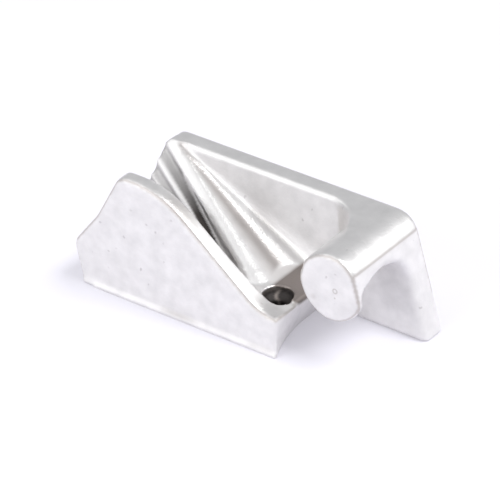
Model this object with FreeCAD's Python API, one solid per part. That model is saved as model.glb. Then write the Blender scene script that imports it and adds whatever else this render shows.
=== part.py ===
"""Side-entry jam cleat with a keeper arm, cast in aluminium as one piece.

Lengths are millimetres. The model is drawn from a working corner: x runs from the end of the base
(negative along the jaws, positive under the keeper arm), y from the low wall's foot towards the
high wall, z up from the deck. At the end it is moved so that the origin is the middle of its
footprint, on the deck.
"""
import FreeCAD, Part
import math
import os

V = FreeCAD.Vector

# Base and overall sizes
base_length = 59.5       # end of the base to the outermost point of its toe
body_width = 32.7        # foot of the low wall to the outer face of the high wall
leg_reach = 25.0         # end of the base to the leg's end face, at the deck
floor_height = 10.8      # deck to the channel floor
toe_inset = 2.1          # how far the toe draws in at the deck
toe_low = 8.6            # the toe is plumb from this height
toe_high = 10.9          # up to this one, where its shoulder starts
shoulder_length = 6.9    # level run of the shoulder
shoulder_height = 19.8   # top of the shoulder, at the foot of the jaws

# Low wall, on the side where the rope goes in
hump_height = 33.0
hump_rise_angle = 61.5   # steep side of the hump, over the toe
hump_crest_radius = 3.8
hump_back_radius = 23.7
hump_back_start = 33.1   # end of the base to where the long slope leaves the crest's level
slope_foot_start = 4.821  # end of the base to where that slope meets the wall's low end
slope_foot_radius = 12.6
low_wall_end_height = 10.1
low_wall_land = 4.6      # foot face to the inner edge of the wall's top
face_inset = 0.7         # the wall's face stands back from its foot by this much
foot_height = 1.0

# High wall and its leg
wall_height = 29.2
wall_top_width = 5.6
wall_setback = 8.1       # toe to the high wall's plumb end
wall_corner_radius = 2.2
leg_thickness = 7.6
end_lean_angle = 15.9    # the leg and arm lean back from plumb

# Keeper arm
arm_centre_inset = 13.7  # leg's end face, at the deck, to the middle of the round end
arm_radius = 8.8
arm_face = 5.6           # foot face to the arm's round end
arm_shoulder_drop = 3.85  # the arm's level top rolls down this much, to its crisp front edge
button_depth = 2.7       # thickness of the round end, in front of the arch
arch_spring = 19.9       # height of the arch where it leaves the round end's back
arch_crown = 22.3
arch_crown_offset = 9.6  # crown to the leg
arch_leg_height = 20.8
arch_radius_spring = 2.0
arch_radius_crown = 12.0
arch_radius_leg = 6.0
web_radius = 11.6        # corner web between the arm and the high wall
web_start = 4.6          # end of the base to where the web leaves the high wall

# Channel and jaws
jaw_foot = 9.4           # foot face to the foot of the high jaw, at the channel floor
low_jaw_foot_toe = 8.6   # foot face to the foot of the low jaw, at the toe
low_jaw_foot_end = 5.8   # and at the end of the base
lip_length = 2.6
lip_drop = 0.7
spur_setback = 2.9       # high wall's plumb end to the spur's upper end
spur_toe = 8.6           # to the spur's toe, at the foot of the high jaw
spur_heel = 14.6         # to the spur's heel, at the foot of the high wall
spur_crest_growth = 0.2  # radius of the spur's round crest, for each mm from its upper end
spur_valley_growth = 0.2  # and of the hollow behind it

# Gripping ribs, cut as grooves that run down towards the arm
rib_slope = 32.7         # in the jaw's face, from level
rib_pitch = 2.45         # down the jaw's end
rib_first = 23.6         # height of the first groove at the jaw's end
rib_count = 5
rib_groove_radius = 1.5
rib_groove_depth = 0.75
spur_groove_height = 27.5  # deep groove beside the spur, at the jaw's end
spur_groove_foot = 18.4  # end of the base to where it reaches the channel floor
spur_groove_radius = 1.0
spur_groove_depth = 0.6
spur_groove_foot_radius = 2.2
thin_groove_height = 26.1  # narrow groove next to it
thin_groove_radius = 0.9
thin_groove_depth = 0.5
low_rib_first = 30.95
low_rib_count = 8

# Screw holes
screw_hole = 4.3
screw_head = 7.5
head_depth = 3.2
screw_pitch = 40.0
screw_inset = 5.9
screw_line = 9.3         # foot face to the line of the screws

# Hollow end of the base
scoop_start = 0.6        # foot face to where the hollow end of the base begins, at the deck
scoop_middle = 19.0
scoop_depth = 4.3

low_edge_radius = 0.5    # outer edges of the low wall
inner_edge_radius = 1.2  # inner edge of the high wall's top, and the web's
inner_edge_run = 6.0     # it grows to that radius over this run from the spur's upper end
arch_edge_radius = 1.4   # where the arch and the leg meet the leaning end face
end_edge_radius = 1.2    # outer edge of the leg's leaning end
rim_radius = 0.7         # rim of the arm's round end

clear = 1.0              # how far a cutting solid runs past what it cuts

wall_end = base_length - wall_setback
spur_top = wall_end - spur_setback
arm_centre_x = leg_reach - arm_centre_inset


def corner_frame(corners, i):
    """Corner i as a point, the directions back and ahead along its sides, and half its angle."""
    here = V(*corners[i][:2], 0)
    back = V(*corners[i - 1][:2], 0) - here
    ahead = V(*corners[(i + 1) % len(corners)][:2], 0) - here
    back.normalize()
    ahead.normalize()
    return here, back, ahead, back.getAngle(ahead) / 2


def fitting_reaches(corners):
    """How far each corner's arc reaches along its sides; two that don't fit on a side shrink."""
    count = len(corners)
    wanted = [corners[i][2] / math.tan(corner_frame(corners, i)[3]) for i in range(count)]
    reaches = list(wanted)
    for i in range(count):
        following = (i + 1) % count
        side = (V(*corners[following][:2], 0) - V(*corners[i][:2], 0)).Length
        both = wanted[i] + wanted[following]
        if both > 0.98 * side:
            share = 0.98 * side / both
            reaches[i] = min(reaches[i], wanted[i] * share)
            reaches[following] = min(reaches[following], wanted[following] * share)
    return reaches


def rounded_wire(corners, place):
    """Closed wire through corners (a, b, radius); each corner with a radius becomes an arc."""
    count = len(corners)
    ends = []
    for i, reach in enumerate(fitting_reaches(corners)):
        here, back, ahead, half = corner_frame(corners, i)
        if reach == 0:
            ends.append((here, None, here))
            continue
        middle = back + ahead
        middle.normalize()
        bulge = here + middle * (reach / math.cos(half) - reach * math.tan(half))
        ends.append((here + back * reach, bulge, here + ahead * reach))
    edges = []
    for i, (start, bulge, stop) in enumerate(ends):
        if bulge is not None:
            edges.append(Part.Arc(place(start), place(bulge), place(stop)).toShape())
        following = ends[(i + 1) % count][0]
        if stop.distanceToPoint(following) > 1e-6:
            edges.append(Part.LineSegment(place(stop), place(following)).toShape())
    return Part.Wire(edges)


def side_prism(corners, y_from, y_to):
    """Solid with an x-z outline, from one y to another."""
    wire = rounded_wire(corners, lambda p: V(p.x, y_from, p.y))
    return Part.Face(wire).extrude(V(0, y_to - y_from, 0))


def end_prism(corners, x_from, x_to):
    """Solid with a y-z outline, from one x to another."""
    wire = rounded_wire(corners, lambda p: V(x_from, p.x, p.y))
    return Part.Face(wire).extrude(V(x_to - x_from, 0, 0))


def end_x(z):
    """x of the leaning end face at a height."""
    return leg_reach - z * math.tan(math.radians(end_lean_angle))


def arm_centre():
    """Centre of the arm's round end: its top is level with the wall."""
    return V(arm_centre_x, arm_face, wall_height - arm_radius)


def wall_inner():
    """y of the inner edge of the high wall's top."""
    return body_width - wall_top_width


def jaw_tilt():
    """Angle of the high jaw's face from plumb: it runs from its foot to the wall's inner edge."""
    return math.atan((wall_inner() - jaw_foot) / (wall_height - floor_height))


def toe_corners():
    """Outline of the toe and its shoulder, from the deck up, shared by both walls."""
    left = -base_length
    return [(left + toe_inset, 0, 0), (left, toe_low, 1.5), (left, toe_high, 1.5)]


def soften(shape, radius, chosen):
    """Rounds the edges whose middle point passes the test."""
    edges = [edge for edge in shape.Edges
             if chosen(edge.valueAt((edge.FirstParameter + edge.LastParameter) / 2))]
    return shape.makeFillet(radius, edges)


def slope_fall():
    """How far the low wall's long slope falls for each mm of its run."""
    return (hump_height - low_wall_end_height) / (hump_back_start - slope_foot_start)


def low_wall():
    rise = hump_height - shoulder_height
    crest_x = -base_length + shoulder_length + rise / math.tan(math.radians(hump_rise_angle))
    corners = toe_corners() + [
        (-base_length + shoulder_length, shoulder_height, 2.0),
        (crest_x, hump_height, hump_crest_radius),
        (-hump_back_start, hump_height, hump_back_radius),
        (-slope_foot_start, low_wall_end_height, slope_foot_radius),
        (0, low_wall_end_height, 0),
        (0, 0, 0),
    ]
    wall = side_prism(corners, face_inset, jaw_foot)
    wall = soften(wall, low_edge_radius, lambda p: p.y < face_inset + 0.01 and p.z > 0.01
                  and p.x < -0.01)
    return wall.cut(jaw_gap())


def foot():
    corners = [(-base_length + toe_inset, 0, 0), (-base_length + toe_inset, foot_height, 0.5),
               (0, foot_height, 0.5), (0, 0, 0)]
    return side_prism(corners, 0, jaw_foot)


def arm_front():
    """Front corner of the arm's outline, where its rolled top meets the leaning end face."""
    z = wall_height - arm_shoulder_drop
    return V(end_x(z), z, 0)


def roll_middle():
    """Point half way along the arm's rolled top, which leaves the level top without a crease."""
    run = arm_front().x - arm_centre_x
    half = math.atan(arm_shoulder_drop / run)
    radius = run / math.sin(2 * half)
    return V(arm_centre_x + radius * math.sin(half), wall_height - radius * (1 - math.cos(half)), 0)


def base_and_jaw():
    """Base and high jaw, as far as the end of the base."""
    corners = toe_corners() + [
        (-base_length + shoulder_length, shoulder_height, 1.0),
        (-wall_end, shoulder_height, 0.5),
        (-wall_end, wall_height, wall_corner_radius),
        (0, wall_height, 0),
        (0, 0, 0),
    ]
    return side_prism(corners, jaw_foot, body_width)


def end_block(y_from, y_to, left):
    """Solid that ends in the arm's rolled top and leaning end face."""
    front = arm_front()
    ring = [front, V(end_x(0), 0, 0), V(left, 0, 0), V(left, wall_height, 0),
            V(arm_centre_x, wall_height, 0)]
    ring = [V(p.x, y_from, p.y) for p in ring]
    middle = roll_middle()
    edges = [Part.LineSegment(a, b).toShape() for a, b in zip(ring, ring[1:])]
    edges.append(Part.Arc(ring[-1], V(middle.x, y_from, middle.y), ring[0]).toShape())
    return Part.Face(Part.Wire(edges)).extrude(V(0, y_to - y_from, 0))


def leg():
    """High wall past the base, as far as the arm."""
    return Part.makeBox(base_length / 2 + arm_centre_x, leg_thickness, wall_height,
                        V(-base_length / 2, body_width - leg_thickness, 0))


def on_end_face(p):
    return abs(p.x - end_x(p.z)) < 0.01


def arm():
    """Keeper arm and the leg's end: a round button, squared off above and in front, over an arch."""
    centre = arm_centre()
    left = centre.x - arm_radius - clear
    shape = end_block(arm_face, body_width, left).cut(arch_space())
    shape = soften(shape, arch_edge_radius, lambda p: on_end_face(p) and arm_face < p.y - 0.01
                   and p.y < body_width - leg_thickness / 2 and 0.01 < p.z < arch_crown + 0.01)
    reach = body_width - arm_face
    button = Part.makeCylinder(arm_radius, button_depth, centre, V(0, 1, 0))
    top = Part.makeBox(leg_reach, reach, arm_radius, centre)
    back = Part.makeBox(leg_reach, reach - button_depth, wall_height,
                        V(centre.x, arm_face + button_depth, 0))
    arm_solid = shape.common(button.fuse([top, back]))
    return soften(arm_solid, rim_radius, lambda p: p.y < arm_face + 0.01)


def bar():
    """Round side of the arm behind its button, as far as the leg."""
    length = body_width - leg_thickness / 2 - arm_face - button_depth
    start = arm_centre() + V(0, button_depth, 0)
    half = Part.makeBox(arm_radius, length, wall_height - arch_spring,
                        V(start.x - arm_radius, start.y, arch_spring))
    round_bar = Part.makeCylinder(arm_radius, length, start, V(0, 1, 0))
    return round_bar.common(half).cut(arch_space())


def low_jaw_top(x):
    """Height where the low jaw's face ends under the wall's land at x."""
    slope = hump_height - (x + hump_back_start) * slope_fall()
    return max(min(hump_height, slope), floor_height + clear)


def jaw_section(x):
    """Channel between the jaws at one x: low jaw, floor, high jaw, then open upwards."""
    share = -x / base_length
    low_foot = low_jaw_foot_end + share * (low_jaw_foot_toe - low_jaw_foot_end)
    sky = 2 * hump_height
    inner = wall_inner()
    points = [V(x, low_foot, floor_height), V(x, jaw_foot, floor_height), V(x, inner, wall_height),
              V(x, inner, sky), V(x, low_wall_land, sky), V(x, low_wall_land, low_jaw_top(x))]
    return Part.makePolygon(points + points[:1])


def jaw_gap():
    """Space between the two jaws, from past the toe to past the end of the base."""
    stations = [-base_length - clear, -hump_back_start, -slope_foot_start, clear]
    return Part.makeLoft([jaw_section(x) for x in stations], True, True)


def spur_section(run):
    """Space over the spur and in the pocket behind it, at this run past the spur's upper end.

    It also takes in the rounded inner edge of the high wall's top.
    """
    top = V(-spur_top, wall_inner(), wall_height)
    toe = V(-spur_toe, jaw_foot, floor_height)
    heel = V(-spur_heel, body_width - leg_thickness, floor_height)
    crest = top + (toe - top) * (run / (toe.x - top.x))
    valley = top + (heel - top) * (run / (heel.x - top.x))
    side = crest - V(0, math.sin(jaw_tilt()), math.cos(jaw_tilt())) * (2 * spur_crest_growth * run)
    sky = 2 * hump_height
    corners = [(side.y, side.z, 0), (crest.y, crest.z, spur_crest_growth * run),
               (valley.y, valley.z, spur_valley_growth * run),
               (top.y, top.z, min(inner_edge_radius, inner_edge_radius * run / inner_edge_run)),
               (body_width, top.z, 0), (body_width, sky, 0), (side.y, sky, 0)]
    return rounded_wire(corners, lambda p: V(crest.x, p.x, p.y))


def pocket():
    """Space over the spur's rounded crest and in the three-cornered pocket behind it."""
    end = arm_centre_x + spur_top
    space = Part.makeLoft([spur_section(run) for run in (clear / 2, inner_edge_run, end)], True, True)
    keep = Part.makeBox(end, body_width, 2 * hump_height, V(-spur_top, jaw_foot, floor_height))
    return space.common(keep)


def channel():
    return jaw_gap().fuse(pocket())


def arch_space():
    """Arch that the rope leads through, under the arm and in front of the leg."""
    front = arm_face + button_depth
    back = body_width - leg_thickness
    draft = (wall_inner() - back) / (wall_height - floor_height)
    leg_top = back + draft * (arch_leg_height - floor_height)
    corners = [(front, -clear, 0), (front, arch_spring, arch_radius_spring),
               (back - arch_crown_offset, arch_crown, arch_radius_crown),
               (leg_top, arch_leg_height, arch_radius_leg), (back, floor_height, 0),
               (back, -clear, 0)]
    return end_prism(corners, -web_start - clear, leg_reach + clear)


def web():
    """Web that rounds the corner between the arm's level top and the high wall."""
    middle = V(-web_start, wall_inner() - web_radius, arch_spring)
    tip = V(arm_centre_x, arm_face + button_depth, middle.z)
    reach = tip - middle
    turn = math.atan2(reach.y, reach.x) + math.acos(web_radius / reach.Length)

    def on_arc(angle):
        return middle + V(math.cos(angle), math.sin(angle), 0) * web_radius

    start = on_arc(math.pi / 2)
    touch = on_arc(turn)
    behind = body_width - wall_top_width / 2
    ring = [touch, tip, V(tip.x, behind, tip.z), V(start.x, behind, start.z), start]
    edges = [Part.LineSegment(a, b).toShape() for a, b in zip(ring, ring[1:])]
    edges.append(Part.Arc(start, on_arc((turn + math.pi / 2) / 2), touch).toShape())
    block = Part.Face(Part.Wire(edges)).extrude(V(0, 0, wall_height - middle.z))
    block = soften(block, inner_edge_radius, lambda p: p.z > wall_height - 0.01
                   and p.x < tip.x - 0.01 and p.y < wall_inner())
    return block.cut(arch_space())


def lip():
    """Sliver cut off the channel floor so that it rolls down to the end of the base."""
    radius = (lip_length ** 2 + lip_drop ** 2) / (2 * lip_drop)
    far = body_width - leg_thickness
    above = Part.makeBox(lip_length + clear, far + clear, lip_drop + clear,
                         V(-lip_length, -clear, floor_height - lip_drop - clear))
    roll = Part.makeCylinder(radius, far + 2 * clear,
                             V(-lip_length, -clear, floor_height - radius), V(0, 1, 0))
    return above.cut(roll)


def scoop():
    """Hollow in the end of the base: an arc at the deck that runs out at the channel floor."""
    far = body_width - leg_thickness
    arc = Part.Circle(V(0, scoop_start, 0), V(-scoop_depth, scoop_middle, 0),
                      V(0, 2 * scoop_middle - scoop_start, 0))

    def on_arc(y):
        return V(arc.Center.x - math.sqrt(arc.Radius ** 2 - (y - arc.Center.y) ** 2), y, 0)

    near_corner = V(clear, scoop_start, 0)
    far_corner = V(clear, far, 0)
    deck = Part.Wire([
        Part.Arc(on_arc(scoop_start), on_arc((scoop_start + far) / 2), on_arc(far)).toShape(),
        Part.LineSegment(on_arc(far), far_corner).toShape(),
        Part.LineSegment(far_corner, near_corner).toShape(),
        Part.LineSegment(near_corner, on_arc(scoop_start)).toShape()])
    rise = V(0, 0, floor_height - lip_drop)
    top = [V(0, scoop_start, 0), V(0, far, 0), far_corner, near_corner]
    top = [point + rise for point in top]
    return Part.makeLoft([deck, Part.makePolygon(top + top[:1])], True, True)


def screw_places():
    return [V(-screw_inset - i * screw_pitch, screw_line, 0) for i in (0, 1)]


def screw_space(place):
    """Clearance hole, a tapered seat and a sink for the head, open to the sky."""
    seat = floor_height - head_depth
    taper = (screw_head - screw_hole) / 2
    hole = Part.makeCylinder(screw_hole / 2, hump_height, place - V(0, 0, clear))
    cone = Part.makeCone(screw_hole / 2, screw_head / 2, taper, place + V(0, 0, seat))
    sink = Part.makeCylinder(screw_head / 2, hump_height, place + V(0, 0, seat + taper))
    return hole.fuse([cone, sink])


def jaw_frame(tilt, side):
    """Downward direction in a jaw's face, and the face's outward normal. side is 1 on the high jaw."""
    down = V(0, -side * math.sin(tilt), -math.cos(tilt))
    out = V(0, -side * math.cos(tilt), math.sin(tilt))
    return down, out


def groove(start, stop, out, sizes):
    """Round groove from start to stop, two points on a face. sizes: depth, radius, radius at stop."""
    depth, radius, stop_radius = sizes
    along = stop - start
    extra = 2 * clear / along.Length
    lift = out * (radius - depth)
    if radius == stop_radius:
        foot = start - along * extra + lift
        return Part.makeCylinder(radius, along.Length * (1 + 2 * extra), foot, along)
    growth = (stop_radius - radius) * extra
    foot = start - along * extra + lift
    return Part.makeCone(radius - growth, stop_radius + growth, along.Length * (1 + 2 * extra),
                         foot, along)


def high_jaw_grooves():
    """Grooves between the ribs of the high jaw, and the deep one beside the spur."""
    down, out = jaw_frame(jaw_tilt(), 1)
    slope = math.radians(rib_slope)

    def on_face(height):
        return V(-wall_end, jaw_foot + (height - floor_height) * math.tan(jaw_tilt()), height)

    def foot_of(start):
        """Where a rib-wise groove from this point reaches the channel floor."""
        fall = (start.z - floor_height) / math.cos(jaw_tilt())
        return start + V(fall / math.tan(slope), 0, 0) + down * fall

    start = on_face(spur_groove_height)
    stop = V(-spur_groove_foot, jaw_foot, floor_height)
    tools = [groove(start, stop, out, (spur_groove_depth, spur_groove_radius, spur_groove_foot_radius))]
    start = on_face(thin_groove_height)
    tools.append(groove(start, foot_of(start), out,
                        (thin_groove_depth, thin_groove_radius, thin_groove_radius)))
    for i in range(rib_count):
        start = on_face(rib_first - i * rib_pitch)
        tools.append(groove(start, foot_of(start), out,
                            (rib_groove_depth, rib_groove_radius, rib_groove_radius)))
    keep = Part.makeBox(base_length, body_width, hump_height,
                        V(-base_length - clear, jaw_foot, floor_height))
    return [tool.common(keep) for tool in tools]


def low_jaw_grooves():
    """The same ribs on the low jaw, mirrored; its face is steeper."""
    tilt = math.atan((low_jaw_foot_toe - low_wall_land) / (hump_height - floor_height))
    down, out = jaw_frame(tilt, -1)
    tools = []
    for i in range(low_rib_count):
        height = low_rib_first - i * rib_pitch
        start = V(-wall_end, low_jaw_foot_toe - (height - floor_height) * math.tan(tilt), height)
        fall = (height - floor_height) / math.cos(tilt)
        stop = start + V(fall / math.tan(math.radians(rib_slope)), 0, 0) + down * fall
        tools.append(groove(start, stop, out, (rib_groove_depth, rib_groove_radius, rib_groove_radius)))
    keep = Part.makeBox(base_length, jaw_foot, hump_height,
                        V(-base_length - clear, 0, floor_height))
    return [tool.common(keep) for tool in tools]


def build():
    high = base_and_jaw().fuse([leg(), arm()]).removeSplitter()
    high = soften(high, end_edge_radius, lambda p: p.y > body_width - 0.01 and on_end_face(p)
                  and p.z > 0.01)
    high = high.cut(channel())
    high = high.fuse(bar())
    body = low_wall().fuse([foot(), high])
    body = body.cut(high_jaw_grooves() + low_jaw_grooves())
    body = body.fuse(web()).removeSplitter()
    body = body.cut([lip(), scoop()])
    body = body.cut([screw_space(place) for place in screw_places()])
    body.translate(V((base_length - leg_reach) / 2, -body_width / 2, 0))
    return body


part = build()
os.makedirs("parts", exist_ok=True)
part.exportStep("parts/cleat_body.step")
print("solids", len(part.Solids), "volume", round(part.Volume), "valid", part.isValid())
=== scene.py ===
"""Jam cleat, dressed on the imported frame. Lengths are metres."""
import math
import bpy
from mathutils import Matrix, Vector


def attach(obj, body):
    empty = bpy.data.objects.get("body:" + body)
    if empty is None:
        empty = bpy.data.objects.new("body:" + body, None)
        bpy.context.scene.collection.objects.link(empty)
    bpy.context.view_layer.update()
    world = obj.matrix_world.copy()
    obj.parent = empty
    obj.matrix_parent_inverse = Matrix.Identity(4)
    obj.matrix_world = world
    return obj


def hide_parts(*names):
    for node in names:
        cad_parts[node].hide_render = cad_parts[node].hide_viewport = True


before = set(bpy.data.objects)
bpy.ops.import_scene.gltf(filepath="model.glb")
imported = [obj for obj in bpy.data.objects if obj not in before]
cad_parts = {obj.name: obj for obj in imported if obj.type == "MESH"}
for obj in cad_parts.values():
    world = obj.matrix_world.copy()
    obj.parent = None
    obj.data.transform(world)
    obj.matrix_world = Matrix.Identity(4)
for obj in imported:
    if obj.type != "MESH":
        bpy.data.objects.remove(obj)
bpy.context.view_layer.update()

# Body: the remesh, then rounds of smoothing all over and at chosen places
MERGE_DISTANCE = 1e-6
VOXEL = 0.00038              # grid of the remesh, which also sets how round the edges get
SMOOTH_FACTOR = 0.5
SMOOTH_STEPS = 5
OUTER_STEPS = 48             # edges that the tumbling reached
SPUR_STEPS = 45              # the spur's crest and the bottom of its valley

# Colours of the metal and its marks
DULL_COLOUR = (0.885, 0.87, 0.87)
BRIGHT_COLOUR = (0.84, 0.828, 0.818)
# painted shade in the screw holes and at the bottom of the grooves
HOLLOW_SHADE_COLOUR = (0.050, 0.044, 0.042)
# painted shade, brown-tinted, on the land, on the floor by the arm and in the pocket
BROWN_SHADE_COLOUR = (0.27, 0.238, 0.222)
SEAM_COLOUR = (0.42, 0.37, 0.34)
SPECK_COLOUR = (0.33, 0.30, 0.30)

# Texture of the cast skin; a scale is in waves or cells for each metre
MOTTLE_SCALE = 260.0
RAGGED_SCALE = 900.0
RAGGED_REACH = 0.0012        # how far a speck's outline is pulled about
SPECK_SCALE = 420.0
SPECK_CORE = 0.06            # full strength up to here from a cell's centre
SPECK_RIM = 0.20             # and none past here
SPECKLESS_SHARE = 0.86       # share of the cells that have no speck
GRAIN_SCALE = 1900.0
WAVE_SCALE = 420.0
WAVE_HEIGHT = 0.7            # of the longer waves, where the grain's is 1
BUMP_STRENGTH = 0.5
BUMP_DISTANCE = 0.00012

# Finish of the two metals: amounts of specks and mottling, roughness, and how metallic
DULL_SPECKS, DULL_MOTTLE = 0.4, 0.12
BRIGHT_SPECKS, BRIGHT_MOTTLE = 0.25, 0.10
DULL_ROUGHNESS, BRIGHT_ROUGHNESS = 0.62, 0.36
DULL_METALLIC, BRIGHT_METALLIC = 0.45, 1.0

SEAM_STRENGTH = 0.65
PIN_MARKS = [                # place, radius, width and strength of each ring, dot or smudge
    ((0.03015, -0.01075, 0.02046), 0.00055, 0.00032, 0.5),
    ((0.03010, -0.01075, 0.01860), 0.0, 0.00035, 0.6),
    ((0.02415, -0.01075, 0.01686), 0.0, 0.00130, 0.22),
]

# Which way a face looks: the least part of its normal that lies along an axis
PLUMB = 0.8
END_FACING = 0.85
LIP_FACING = 0.5             # the rolled lip of the base's end
LAND_FACING = 0.4
LEVEL = 0.93

# Bounds of the plumb sides, the ends and the arch
SIDE_Y = -0.01525
BUTTON_Y = -0.0105
FAR_SIDE_Y = 0.0155
ARM_X = 0.018
ARCH_X = 0.0165
WEB_X = 0.0205               # where the arch starts above the corner web's foot
WEB_FOOT_Z = 0.0190
ARCH_TOP_Z = 0.0225
ARCH_Y = (-0.0078, 0.0105)
BASE_END_Z = 0.0100
TOE_TOP_Z = 0.0190
FOOT_Z = 0.0012

# The jaws and their grooves, with painted shade at the bottom of the grooves
JAW_FOOT = Vector((0, -0.00695, 0.0108))
JAW_OUT = Vector((0, -0.7206, 0.6934))
JAW_Y = (-0.0122, 0.0108)    # both jaws lie between these
JAW_FOOT_Z = 0.011
JAW_DULLNESS = 0.7
GROOVE_FOOT_X = -0.00115     # where the deep groove reaches the foot of the jaw
GROOVE_RUN = 2.053           # and how far it runs along x for each metre across
GROOVE_EDGE = 0.0004         # the jaw's dull face ends this far past the groove's middle
GROOVE_REACH = 0.0022        # the groove's dark is within this of its middle
GROOVE_SHALLOW = 0.00035     # depth at which a groove has its full dark
GROOVE_DEEPEST = 0.0024
GROOVE_LOWEST_Z = 0.0105
NARROW_GROOVE_DARK = 0.6     # beside the deep groove's 1
HIGH_DARK = 0.4              # share of the dark that is left at the jaw's top
HIGH_DARK_Z = 0.0270
LOW_DARK_DROP = 0.0090       # the whole of it is there this far below

# The screw holes, with painted shade inside them
SCREWS_X = (0.01135, -0.02865)
SCREW_Y = -0.00705
SINK_FLOOR_Z = 0.0074
SINK_REACH = 0.0040
BORE_REACH = 0.0025
HOLE_RIM_Z = 0.0105
HOLE_FADE = 0.0008
HOLE_DARK = 0.97

# The spur and the pocket behind it; a run goes from 0 to 1 along the spur
SPUR_TOP = Vector((-0.03125, 0.01075, 0.0292))
SPUR_LENGTH = 0.036
SPUR_VALLEY_SLOPE = 0.0096
SPUR_START_RUN = 0.08
SPUR_LOWEST_Z = 0.0125
SPUR_FROM_GROOVE = 0.0030
SPUR_PAST_VALLEY = 0.0015
POCKET_Y = 0.004
POCKET_DULLNESS = 0.85

# Brown-tinted painted shade along the pocket's valley and at the wall's foot behind it
SHADE_FRONT_Y = -0.0070
SHADE_RUN = (0.02, 1.4)
SHADE_VALLEY_SLOPE = 0.0088
VALLEY_SHADE = 0.68
VALLEY_SHADE_WIDTH = 0.0004
VALLEY_SHADE_SPREAD = 0.0019  # how much wider it is after one run
WALL_FOOT_X = (-0.0105, 0.0120)
WALL_FOOT_Y = 0.00755        # of the wall's foot where x is 0
WALL_FOOT_SLOPE = 0.184      # and how much less that is for each metre along x
WALL_FOOT_SHADE = 0.38
WALL_FOOT_FADE = 0.0060
WALL_FOOT_WIDTH = 0.0015

# Brown-tinted painted shade on the floor beside the arm
FLOOR_TOP_Z = 0.0112
FLOOR_SHADE = 1.7             # above one, so that the painted shade reaches its full colour near its edge
FLOOR_SHADE_X = 0.0078
FLOOR_SHADE_Z = 0.0094
FLOOR_SHADE_FADE = 0.0012
FLOOR_SHADE_END_Y = 0.0090

# Brown-tinted painted shade on the low wall's land, at the slope's top and at its foot
LAND_Y = -0.0112
LAND_SHADE = 0.5
LAND_SHADE_X = -0.0112
LAND_SHADE_WIDTH = 0.0045
LAND_FOOT_SHADE = 0.2
LAND_FOOT_X = 0.0090
LAND_FOOT_FADE = 0.0015

# Bounds of the places whose edges are rounded most
ROUND_TOE_X = -0.0360
ROUND_SIDE_Y = -0.0122
ROUND_SIDE_Z = 0.0030
ROUND_LEG_X = 0.0200
ROUND_LEG_Z = 0.0240
ROUND_FAR_Y = 0.0130

# Floor, world and lamps
FLOOR_SIZE = 6.0
FLOOR_COLOUR = (0.62, 0.61, 0.66)
FLOOR_GLOW_COLOUR = (0.97, 0.96, 1.0)
FLOOR_GLOW = 0.22
WORLD_COLOUR = (0.96, 0.97, 1.0)
WORLD_STRENGTH = 0.64
LAMP_AIM = Vector((0, 0, 0.015))
SOFTBOXES = [                # name, place, width and height, watts
    ("behind_right", (0.62, 0.74, 0.50), (0.5, 0.6), 1.3),
    ("front", (-0.3, -0.9, 0.5), (0.7, 0.5), 3.8),
    ("above_left", (-0.52, -0.18, 0.84), (0.8, 0.8), 1.5),
    ("right", (0.8, -0.2, 0.6), (0.4, 0.4), 0.5),
    ("above_right", (0.44, 0.12, 0.9), (0.38, 0.38), 5.4),
]

# Camera, solved from the photograph: angles in degrees, lengths in metres
CAM_AZIMUTH = 37.01
CAM_ELEVATION = 32.13
CAM_ROLL = -1.04
CAM_DISTANCE = 0.80592
CAM_FOCAL_PIXELS = 3504
IMAGE_PIXELS = 500
SENSOR_WIDTH = 36.0                         # millimetres
AIM = Vector((0.017825, -0.01635, 0.0))     # low wall's foot, at the end of the base
AIM_RIGHT = -0.006274                       # the view's centre from the aim point
AIM_UP = 0.025371


def deselect():
    bpy.ops.object.select_all(action="DESELECT")


def make_active(obj):
    deselect()
    obj.select_set(True)
    bpy.context.view_layer.objects.active = obj


def apply_modifier(obj, kind, **settings):
    make_active(obj)
    modifier = obj.modifiers.new(kind.lower(), kind)
    for key, value in settings.items():
        setattr(modifier, key, value)
    bpy.ops.object.modifier_apply(modifier=modifier.name)


def feed(tree, value, socket):
    """Gives a socket another node's output, or a number or colour of its own."""
    if isinstance(value, bpy.types.NodeSocket):
        tree.links.new(value, socket)
    else:
        socket.default_value = value


def node(tree, kind, values=None, **settings):
    """New shader node: values go to its sockets, by name or number, and settings to itself."""
    made = tree.nodes.new(kind)
    for key, value in settings.items():
        setattr(made, key, value)
    for socket, value in (values or {}).items():
        feed(tree, value, made.inputs[socket])
    return made


def maths(tree, operation, *values):
    """What a Math node makes of sockets and numbers."""
    return node(tree, "ShaderNodeMath", dict(enumerate(values)), operation=operation).outputs[0]


def mixed_colour(tree, factor, first, second):
    """Colour that goes from first to second as the factor goes from 0 to 1."""
    values = {"Factor": factor, "A": first, "B": second}
    return node(tree, "ShaderNodeMix", values, data_type="RGBA").outputs["Result"]


def ranged(tree, value, low, high):
    """A mask from 0 to 1 turned into a number from low to high, and kept between them."""
    return node(tree, "ShaderNodeMapRange", {"Value": value, "To Min": low, "To Max": high}).outputs[0]


def new_group(name, inputs, outputs):
    """Shader node group: inputs are (name, kind, default), outputs (name, kind)."""
    tree = bpy.data.node_groups.new(name, "ShaderNodeTree")
    for label, kind, default in inputs:
        tree.interface.new_socket(label, in_out="INPUT", socket_type=kind).default_value = default
    for label, kind in outputs:
        tree.interface.new_socket(label, in_out="OUTPUT", socket_type=kind)
    return tree, tree.nodes.new("NodeGroupInput").outputs, tree.nodes.new("NodeGroupOutput").inputs


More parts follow.
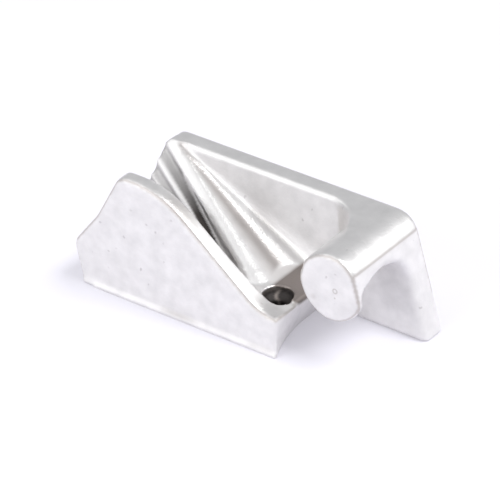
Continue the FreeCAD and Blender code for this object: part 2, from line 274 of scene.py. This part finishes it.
def cast_skin_group():
    """Faint mottling, small dark specks and a fine grain, all over a cast surface."""
    tree, given, out = new_group(
        "cast_skin",
        [("Colour", "NodeSocketColor", (0.8, 0.8, 0.8, 1)),
         ("Speck colour", "NodeSocketColor", (*SPECK_COLOUR, 1)),
         ("Speck amount", "NodeSocketFloat", 0.5),
         ("Mottle", "NodeSocketFloat", 0.05)],
        [("Colour", "NodeSocketColor"), ("Height", "NodeSocketFloat")])
    place = node(tree, "ShaderNodeTexCoord").outputs["Object"]
    mottle = node(tree, "ShaderNodeTexNoise", {"Vector": place, "Scale": MOTTLE_SCALE, "Detail": 4.0})
    shade = node(tree, "ShaderNodeMapRange", {
        "Value": mottle.outputs["Fac"], "From Min": 0.3, "From Max": 0.7,
        "To Min": 1.0, "To Max": maths(tree, "SUBTRACT", 1.0, given["Mottle"])})
    tint = node(tree, "ShaderNodeVectorMath", {0: given["Colour"], "Scale": shade.outputs[0]},
                operation="SCALE")
    ragged = node(tree, "ShaderNodeTexNoise", {"Vector": place, "Scale": RAGGED_SCALE})
    moved = node(tree, "ShaderNodeVectorMath",
                 {0: ragged.outputs["Color"], 1: (RAGGED_REACH,) * 3, 2: place},
                 operation="MULTIPLY_ADD")
    specks = node(tree, "ShaderNodeTexVoronoi", {"Vector": moved.outputs[0], "Scale": SPECK_SCALE})
    near = node(tree, "ShaderNodeMapRange", {
        "Value": specks.outputs["Distance"], "From Min": SPECK_CORE, "From Max": SPECK_RIM,
        "To Min": 1.0, "To Max": 0.0})
    chosen = node(tree, "ShaderNodeSeparateColor", {"Color": specks.outputs["Color"]})
    few = maths(tree, "GREATER_THAN", chosen.outputs["Red"], SPECKLESS_SHARE)
    spot = maths(tree, "MULTIPLY", near.outputs[0], few)
    amount = maths(tree, "MULTIPLY", spot, given["Speck amount"])
    feed(tree, mixed_colour(tree, amount, tint.outputs[0], given["Speck colour"]), out["Colour"])
    grain = node(tree, "ShaderNodeTexNoise", {"Vector": place, "Scale": GRAIN_SCALE, "Detail": 3.0})
    wave = node(tree, "ShaderNodeTexNoise", {"Vector": place, "Scale": WAVE_SCALE})
    height = maths(tree, "MULTIPLY_ADD", wave.outputs["Fac"], WAVE_HEIGHT, grain.outputs["Fac"])
    feed(tree, height, out["Height"])
    return tree


def pin_mark_group():
    """Ring or dot round a point, as an ejector pin leaves on the arm's round end."""
    tree, given, out = new_group(
        "pin_mark",
        [("Centre", "NodeSocketVector", (0, 0, 0)),
         ("Radius", "NodeSocketFloat", 0.001),
         ("Width", "NodeSocketFloat", 0.0002)],
        [("Mask", "NodeSocketFloat")])
    place = node(tree, "ShaderNodeTexCoord").outputs["Object"]
    reach = node(tree, "ShaderNodeVectorMath", {0: place, 1: given["Centre"]}, operation="DISTANCE")
    off = maths(tree, "SUBTRACT", reach.outputs["Value"], given["Radius"])
    fade = node(tree, "ShaderNodeMapRange", {
        "Value": maths(tree, "ABSOLUTE", off), "From Min": 0.0, "From Max": given["Width"],
        "To Min": 1.0, "To Max": 0.0}, interpolation_type="SMOOTHSTEP")
    feed(tree, fade.outputs[0], out["Mask"])
    return tree


def mask(tree, name):
    """A value that the mesh keeps for each of its points."""
    return node(tree, "ShaderNodeAttribute", attribute_name=name).outputs["Fac"]


def casting_material(skin, mark):
    """Dull cast skin or worn bright metal, with painted shade in the holes and grooves and brown-tinted
    painted shade on the land, the floor by the arm and the pocket, seams and pin marks.
    """
    made = bpy.data.materials.new("cast_aluminium")
    made.use_nodes = True
    tree = made.node_tree
    shader = tree.nodes["Principled BSDF"].inputs
    dull = mask(tree, "dull")
    hollow_shade = mask(tree, "hollow_shade")
    cast = node(tree, "ShaderNodeGroup", node_tree=skin)
    bright = node(tree, "ShaderNodeGroup", node_tree=skin)
    for metal, tone, specks, mottle in ((cast, DULL_COLOUR, DULL_SPECKS, DULL_MOTTLE),
                                        (bright, BRIGHT_COLOUR, BRIGHT_SPECKS, BRIGHT_MOTTLE)):
        metal.inputs["Colour"].default_value = (*tone, 1)
        metal.inputs["Speck amount"].default_value = specks
        metal.inputs["Mottle"].default_value = mottle
    colour = mixed_colour(tree, dull, bright.outputs["Colour"], cast.outputs["Colour"])
    # painted shade: brown-tinted on the land, the floor by the arm and the pocket, near black in the
    # screw holes and the grooves
    brown_shade = ranged(tree, mask(tree, "brown_shade"), 0.0, 1.0)
    for amount, tone in ((brown_shade, BROWN_SHADE_COLOUR), (hollow_shade, HOLLOW_SHADE_COLOUR),
                         (mask(tree, "seam"), SEAM_COLOUR)):
        colour = mixed_colour(tree, amount, colour, (*tone, 1))
    for place, radius, width, strength in PIN_MARKS:
        ring = node(tree, "ShaderNodeGroup", node_tree=mark)
        ring.inputs["Centre"].default_value = place
        ring.inputs["Radius"].default_value = radius
        ring.inputs["Width"].default_value = width
        faint = ranged(tree, ring.outputs["Mask"], 0.0, strength)
        colour = mixed_colour(tree, faint, colour, (*SEAM_COLOUR, 1))
    feed(tree, colour, shader["Base Color"])
    matt = maths(tree, "MAXIMUM", dull, hollow_shade)
    feed(tree, ranged(tree, matt, BRIGHT_ROUGHNESS, DULL_ROUGHNESS), shader["Roughness"])
    skin_only = maths(tree, "SUBTRACT", dull, hollow_shade)
    feed(tree, ranged(tree, skin_only, BRIGHT_METALLIC, DULL_METALLIC), shader["Metallic"])
    bump = node(tree, "ShaderNodeBump", {
        "Strength": BUMP_STRENGTH, "Distance": BUMP_DISTANCE, "Height": cast.outputs["Height"]})
    feed(tree, bump.outputs["Normal"], shader["Normal"])
    return made


def ramp(value, start, length):
    """0 up to the start, then up to 1 over the length, which is negative for a ramp that runs back."""
    return max(0.0, min(1.0, (value - start) / length))


def bell(off, width):
    """1 in the middle, and fading to nothing on both sides."""
    return math.exp(-(off / width) ** 2)


def groove_x(place):
    """Where the deep groove's middle is, at a place's distance across the cleat."""
    return GROOVE_FOOT_X + (JAW_FOOT.y - place.y) * GROOVE_RUN


def spur_run(place):
    """How far along the spur a place is: 0 at its top and 1 near its foot."""
    return (place.x - SPUR_TOP.x) / SPUR_LENGTH


def is_outside(place, normal):
    """Faces that were never worn or polished: the plumb sides, the ends and under the arm."""
    side = normal.y < -PLUMB and place.y < SIDE_Y
    button = normal.y < -PLUMB and place.x > ARM_X and place.y < BUTTON_Y
    far_side = normal.y > PLUMB and place.y > FAR_SIDE_Y
    end = normal.x > END_FACING and place.x > ARM_X
    arch_start = WEB_X if place.z > WEB_FOOT_Z else ARCH_X
    under_arm = place.x > arch_start and place.z < ARCH_TOP_Z and ARCH_Y[0] < place.y < ARCH_Y[1]
    base_end = normal.x > LIP_FACING and place.z < BASE_END_Z
    toe = normal.x < -PLUMB and place.z < TOE_TOP_Z
    foot = place.z < FOOT_Z
    return side or button or far_side or end or under_arm or base_end or toe or foot


def dullness(place, normal):
    """How much of the mould's dull skin is left: all outside, less on the jaw and in the pocket."""
    if is_outside(place, normal):
        return 1.0
    jaw = JAW_Y[0] < place.y < JAW_Y[1] and place.x < groove_x(place) + GROOVE_EDGE
    if jaw and normal.z < LEVEL and place.z > JAW_FOOT_Z:
        return JAW_DULLNESS
    pocket = normal.y < -PLUMB and place.y > POCKET_Y and place.x < ARCH_X
    return POCKET_DULLNESS if pocket else 0.0


def hollow_shade_of(place, normal):
    """How much painted shade a place gets, from 0 to 1: inside a screw hole, or at the bottom of a
    groove.
    """
    for screw_x in SCREWS_X:
        off = Vector((place.x - screw_x, place.y - SCREW_Y)).length
        if off < (SINK_REACH if place.z > SINK_FLOOR_Z else BORE_REACH):
            return min(HOLE_DARK, ramp(place.z, HOLE_RIM_Z, -HOLE_FADE))
    middle = groove_x(place)
    if place.x > middle + GROOVE_REACH or place.z < GROOVE_LOWEST_Z:
        return 0.0
    depth = -(Vector((0, place.y, place.z)) - JAW_FOOT).dot(JAW_OUT)
    if depth > GROOVE_DEEPEST or normal.z > LEVEL or abs(normal.x) > PLUMB:
        return 0.0
    strength = 1.0 if place.x > middle - GROOVE_REACH else NARROW_GROOVE_DARK
    strength *= HIGH_DARK + (1 - HIGH_DARK) * ramp(place.z, HIGH_DARK_Z, -LOW_DARK_DROP)
    return ramp(depth, 0.0, GROOVE_SHALLOW) * strength


def land_shade(place, normal):
    """A band of painted shade at the top of the slope, and a fainter one at its foot."""
    if normal.z < LAND_FACING:
        return 0.0
    foot = LAND_FOOT_SHADE * ramp(place.x, LAND_FOOT_X, LAND_FOOT_FADE)
    return max(foot, LAND_SHADE * bell(place.x - LAND_SHADE_X, LAND_SHADE_WIDTH))


def floor_shade(place):
    """Painted shade on the floor beside the arm, from where the screw hole begins."""
    if place.y >= FLOOR_SHADE_END_Y:
        return 0.0
    level = ramp(place.z, FLOOR_SHADE_Z, FLOOR_SHADE_FADE)
    return FLOOR_SHADE * level * ramp(place.x, FLOOR_SHADE_X, FLOOR_SHADE_FADE)


def pocket_shade(place, run):
    """A streak of painted shade along the valley that widens downwards, and a fainter one at the wall's
    foot.
    """
    off = place.y - (SPUR_TOP.y - SHADE_VALLEY_SLOPE * run)
    valley = VALLEY_SHADE * bell(off, VALLEY_SHADE_WIDTH + VALLEY_SHADE_SPREAD * run)
    start, end = WALL_FOOT_X
    if not start < place.x < end:
        return valley
    off = place.y - (WALL_FOOT_Y - WALL_FOOT_SLOPE * place.x)
    return max(valley, WALL_FOOT_SHADE * ramp(place.x, start, WALL_FOOT_FADE) * bell(off, WALL_FOOT_WIDTH))


def brown_shade_of(place, normal):
    """Brown-tinted painted shade on the land, on the floor by the arm and along the pocket's valley."""
    if place.y < LAND_Y:
        return land_shade(place, normal)
    run = spur_run(place)
    if place.y < SHADE_FRONT_Y or not SHADE_RUN[0] < run < SHADE_RUN[1]:
        return 0.0
    return floor_shade(place) if place.z < FLOOR_TOP_Z else pocket_shade(place, run)


def is_spur(place):
    """The spur between the jaw's deep groove and the pocket's wall, above the screw's floor."""
    run = spur_run(place)
    if run <= SPUR_START_RUN or place.z <= SPUR_LOWEST_Z:
        return False
    valley = SPUR_TOP.y - SPUR_VALLEY_SLOPE * run
    return groove_x(place) + SPUR_FROM_GROOVE < place.x and place.y < valley + SPUR_PAST_VALLEY


def is_outer(place):
    """Places whose edges are rounded most: the toe, the low wall's side, the leg and the far side."""
    toe = place.x < ROUND_TOE_X
    side = place.y < ROUND_SIDE_Y and place.z > ROUND_SIDE_Z
    leg = place.x > ROUND_LEG_X and place.z < ROUND_LEG_Z
    far = place.y > ROUND_FAR_Y
    return toe or side or leg or far


def values_of(mesh, rule, rounds):
    """A rule's value at each point of the mesh, evened out by one ring of neighbours a round."""
    values = [float(rule(point.co, point.normal)) for point in mesh.vertices]
    ends = [tuple(edge.vertices) for edge in mesh.edges]
    for _ in range(rounds):
        total = list(values)
        count = [1] * len(values)
        for a, b in ends:
            total[a] += values[b]
            total[b] += values[a]
            count[a] += 1
            count[b] += 1
        values = [amount / number for amount, number in zip(total, count)]
    return values


def keep_mask(mesh, name, values):
    """Keeps a value for each point of the mesh, for the material to read by its name."""
    mesh.attributes.new(name, "FLOAT", "POINT").data.foreach_set("value", values)


def group_points(body, name, is_inside):
    """Vertex group of the points whose place a rule picks."""
    group = body.vertex_groups.new(name=name)
    group.add([point.index for point in body.data.vertices if is_inside(point.co)], 1.0, "REPLACE")


def smooth(body, steps, group=""):
    apply_modifier(body, "SMOOTH", factor=SMOOTH_FACTOR, iterations=steps, vertex_group=group)


def dressed_body(material):
    """Copy of the casting with its edges rounded off, as cast and tumbled metal has them."""
    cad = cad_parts["cleat_body"]
    body = bpy.data.objects.new("cleat_skin", cad.data.copy())
    bpy.context.scene.collection.objects.link(body)
    make_active(body)
    bpy.ops.object.mode_set(mode="EDIT")
    bpy.ops.mesh.select_all(action="SELECT")
    bpy.ops.mesh.remove_doubles(threshold=MERGE_DISTANCE)
    bpy.ops.object.mode_set(mode="OBJECT")
    apply_modifier(body, "REMESH", mode="VOXEL", voxel_size=VOXEL)
    mesh = body.data
    keep_mask(mesh, "dull", values_of(mesh, dullness, rounds=2))
    # painted shade in the screw holes and at the bottom of the grooves
    keep_mask(mesh, "hollow_shade", values_of(mesh, hollow_shade_of, rounds=1))
    # brown-tinted painted shade on the land, on the floor by the arm and in the pocket
    keep_mask(mesh, "brown_shade", values_of(mesh, brown_shade_of, rounds=4))
    # A seam is strongest where the outside ends, since its value is halfway there
    outside = values_of(mesh, is_outside, rounds=2)
    keep_mask(mesh, "seam", [SEAM_STRENGTH * 4 * amount * (1 - amount) for amount in outside])
    group_points(body, "outer_edges", is_outer)
    group_points(body, "spur", is_spur)
    smooth(body, SMOOTH_STEPS)
    smooth(body, SPUR_STEPS, "spur")
    smooth(body, OUTER_STEPS, "outer_edges")
    mesh.materials.clear()
    mesh.materials.append(material)
    for face in mesh.polygons:
        face.use_smooth = True
    return body


def add_floor():
    deselect()
    bpy.ops.mesh.primitive_grid_add(x_subdivisions=2, y_subdivisions=2, size=FLOOR_SIZE)
    floor = bpy.context.object
    floor.name = "floor"
    made = bpy.data.materials.new("floor_white")
    made.use_nodes = True
    tree = made.node_tree
    shader = tree.nodes["Principled BSDF"].inputs
    shader["Base Color"].default_value = (*FLOOR_COLOUR, 1)
    shader["Roughness"].default_value = 0.9
    shader["Specular IOR Level"].default_value = 0.0
    shader["Emission Color"].default_value = (*FLOOR_GLOW_COLOUR, 1)
    path = node(tree, "ShaderNodeLightPath").outputs
    seen = maths(tree, "MAXIMUM", path["Is Camera Ray"], path["Is Glossy Ray"])
    seen = maths(tree, "MAXIMUM", seen, path["Is Transmission Ray"])
    feed(tree, maths(tree, "MULTIPLY", seen, FLOOR_GLOW), shader["Emission Strength"])
    floor.data.materials.append(made)


def add_world():
    world = bpy.data.worlds.new("studio")
    bpy.context.scene.world = world
    world.use_nodes = True
    back = world.node_tree.nodes["Background"].inputs
    back["Color"].default_value = (*WORLD_COLOUR, 1)
    back["Strength"].default_value = WORLD_STRENGTH


def add_softbox(name, place, size, power):
    light = bpy.data.lights.new(name, "AREA")
    light.shape = "RECTANGLE"
    light.size, light.size_y = size
    light.energy = power
    lamp = bpy.data.objects.new(name, light)
    bpy.context.scene.collection.objects.link(lamp)
    lamp.location = place
    lamp.rotation_euler = (LAMP_AIM - Vector(place)).to_track_quat("-Z", "Y").to_euler()


def add_camera():
    turn = math.radians(CAM_AZIMUTH)
    rise = math.radians(CAM_ELEVATION)
    roll = math.radians(CAM_ROLL)
    ahead = Vector((-math.sin(turn) * math.cos(rise), math.cos(turn) * math.cos(rise),
                    -math.sin(rise)))
    right = Vector((math.cos(turn), math.sin(turn), 0))
    up = right.cross(ahead)
    right, up = (right * math.cos(roll) + up * math.sin(roll),
                 up * math.cos(roll) - right * math.sin(roll))
    data = bpy.data.cameras.new("camera")
    data.sensor_width = SENSOR_WIDTH
    data.lens = CAM_FOCAL_PIXELS / IMAGE_PIXELS * data.sensor_width
    data.clip_start = 0.01
    data.clip_end = 20.0
    camera = bpy.data.objects.new("camera", data)
    bpy.context.scene.collection.objects.link(camera)
    place = AIM + right * AIM_RIGHT + up * AIM_UP - ahead * CAM_DISTANCE
    turned = Matrix((right, up, -ahead)).transposed().to_4x4()
    camera.matrix_world = Matrix.Translation(place) @ turned
    bpy.context.scene.camera = camera


body = dressed_body(casting_material(cast_skin_group(), pin_mark_group()))
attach(body, "root")
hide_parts("cleat_body")

add_floor()
add_world()
for name, place, size, power in SOFTBOXES:
    add_softbox(name, place, size, power)
add_camera()
bpy.context.scene.view_settings.view_transform = "Standard"
